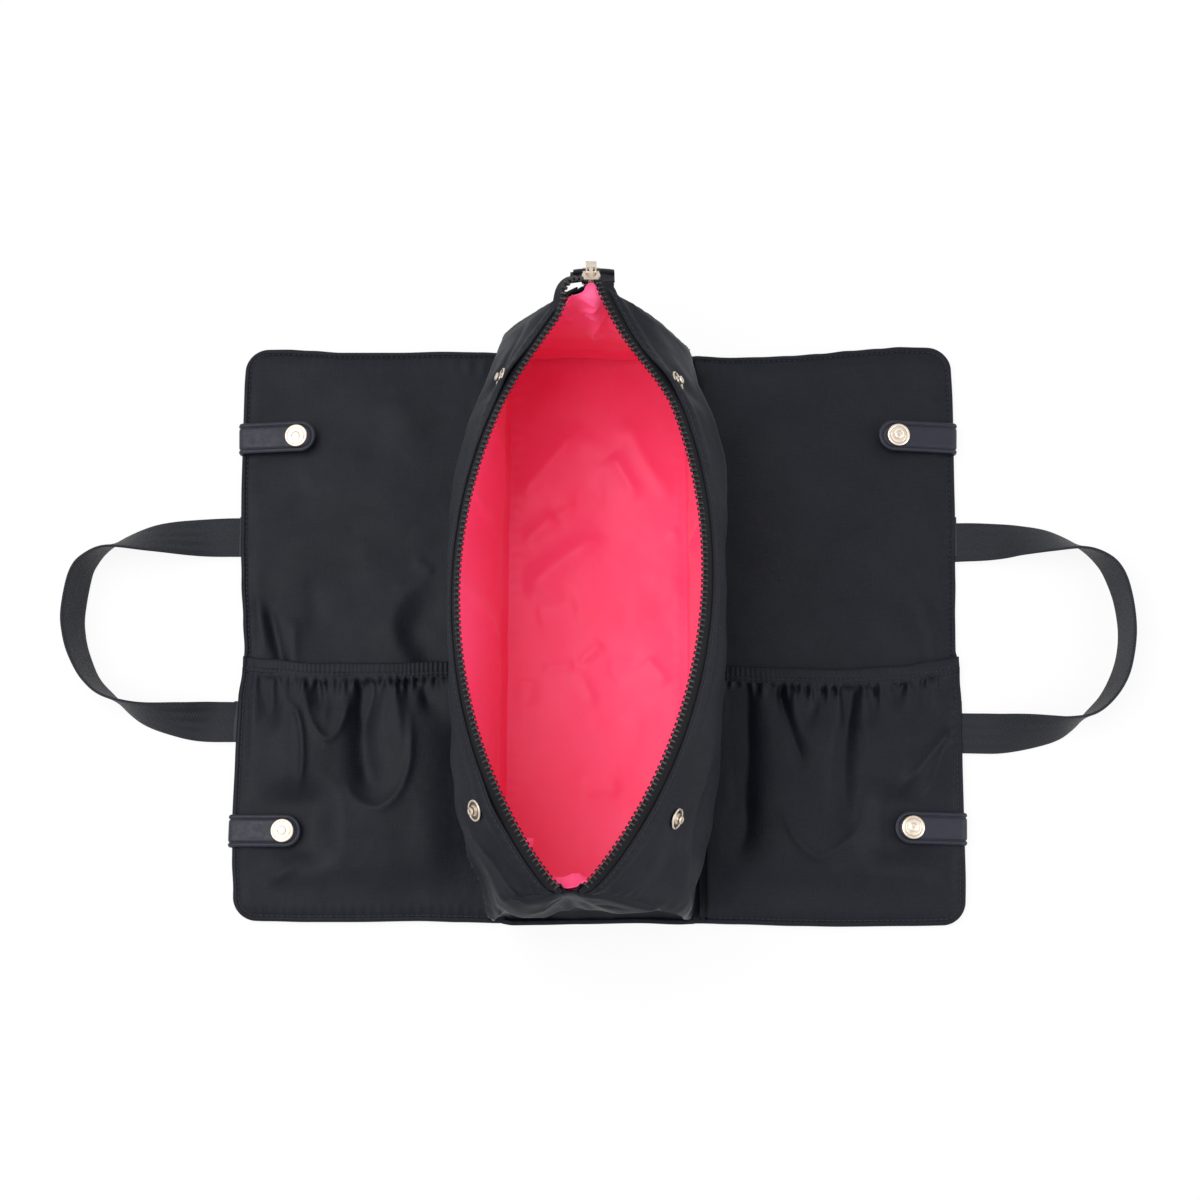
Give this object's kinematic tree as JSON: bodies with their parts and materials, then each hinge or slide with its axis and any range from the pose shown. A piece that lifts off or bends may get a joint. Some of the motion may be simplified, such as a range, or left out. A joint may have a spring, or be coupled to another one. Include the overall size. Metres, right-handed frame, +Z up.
{
  "type": "fold-out changing bag",
  "caption": "Soft zip-top pouch on a stiff base with a padded pocket flap folded out flat on each side; each flap has snap tabs and a webbing handle.",
  "frame": {"origin": "centre of the base's underside, on the surface the bag stands on", "axes": "+X from the left handle to the right handle, +Y along the zip towards its slider, +Z up"},
  "size_m": [0.6636, 0.3831, 0.1484],
  "materials": {
    "black_satin": "satin nylon",
    "black_webbing": "herringbone webbing",
    "black_leather": "smooth",
    "pink_lining": "satin polyester",
    "foam": "soft foam",
    "base_board": "plain",
    "black_zip": "moulded",
    "zip_tape": "woven",
    "gold": "champagne gold plated"
  },
  "bodies": {
    "pouch": {"base_outer_panel": "black_satin", "base_board": "base_board", "lining_floor": "pink_lining", "zip_end_tab": "zip_tape", "zip_stop": "gold", "pouch_left_wall": "black_satin", "pouch_right_wall": "black_satin", "lining_left_wall": "pink_lining", "lining_right_wall": "pink_lining", "zip_tape_left": "zip_tape", "zip_tape_right": "zip_tape", "zip_teeth_left": "black_zip", "zip_teeth_right": "black_zip", "pouch_near_gusset": "black_satin", "pouch_far_gusset": "black_satin", "lining_near_end": "pink_lining", "lining_far_end": "pink_lining", "stud_left_near": "gold", "stud_left_far": "gold", "stud_right_near": "gold", "stud_right_far": "gold", "stud_backings": "gold"},
    "left_flap": {"left_flap_outer_cover": "black_satin", "left_flap_foam": "foam", "left_flap_inner_cover": "black_satin", "left_flap_edge_binding": "black_satin", "left_pocket_panel": "black_satin", "left_pocket_elastic": "black_satin", "left_handle_tails": "black_webbing"},
    "left_handle": {"left_handle": "black_webbing"},
    "left_near_tab": {"left_near_tab_strap": "black_leather", "left_near_tab_cap": "gold", "left_near_tab_socket": "gold"},
    "left_far_tab": {"left_far_tab_strap": "black_leather", "left_far_tab_cap": "gold", "left_far_tab_socket": "gold"},
    "right_flap": {"right_flap_outer_cover": "black_satin", "right_flap_foam": "foam", "right_flap_inner_cover": "black_satin", "right_flap_edge_binding": "black_satin", "right_pocket_panel": "black_satin", "right_pocket_elastic": "black_satin", "right_handle_tails": "black_webbing"},
    "right_handle": {"right_handle": "black_webbing"},
    "right_near_tab": {"right_near_tab_strap": "black_leather", "right_near_tab_cap": "gold", "right_near_tab_socket": "gold"},
    "right_far_tab": {"right_far_tab_strap": "black_leather", "right_far_tab_cap": "gold", "right_far_tab_socket": "gold"},
    "slider": {"zip_slider": "gold", "zip_slider_bridge": "gold"},
    "puller": {"zip_puller": "gold"}
  },
  "joints": [
    {"name": "left_flap_fold", "type": "hinge", "parent": "pouch", "child": "left_flap", "pos_m": [-0.0617, 0, 0.0029], "axis": [0, 1, 0], "range_deg": [0, 65]},
    {"name": "left_handle_swing", "type": "hinge", "parent": "left_flap", "child": "left_handle", "pos_m": [-0.227, 0, 0.0029], "axis": [0, 1, 0], "range_deg": [-90, 60]},
    {"name": "left_near_tab_lift", "type": "hinge", "parent": "left_flap", "child": "left_near_tab", "pos_m": [-0.2252, -0.124, 0.0083], "axis": [0, -1, 0], "range_deg": [0, 165]},
    {"name": "left_far_tab_lift", "type": "hinge", "parent": "left_flap", "child": "left_far_tab", "pos_m": [-0.2252, 0.124, 0.0083], "axis": [0, -1, 0], "range_deg": [0, 165]},
    {"name": "right_flap_fold", "type": "hinge", "parent": "pouch", "child": "right_flap", "pos_m": [0.0617, 0, 0.0029], "axis": [0, -1, 0], "range_deg": [0, 71]},
    {"name": "right_handle_swing", "type": "hinge", "parent": "right_flap", "child": "right_handle", "pos_m": [0.227, 0, 0.0029], "axis": [0, -1, 0], "range_deg": [-90, 60]},
    {"name": "right_near_tab_lift", "type": "hinge", "parent": "right_flap", "child": "right_near_tab", "pos_m": [0.2252, -0.124, 0.0083], "axis": [0, 1, 0], "range_deg": [0, 165]},
    {"name": "right_far_tab_lift", "type": "hinge", "parent": "right_flap", "child": "right_far_tab", "pos_m": [0.2252, 0.124, 0.0083], "axis": [0, 1, 0], "range_deg": [0, 165]},
    {"name": "slider_slide", "type": "slide", "parent": "pouch", "child": "slider", "axis": [0, 0.6428, -0.766], "range_m": [0, 0.005]},
    {"name": "puller_swing", "type": "hinge", "parent": "slider", "child": "puller", "pos_m": [-0.004, 0.18438, 0.14283], "axis": [1, 0, 0], "range_deg": [0, 170]}
  ]
}
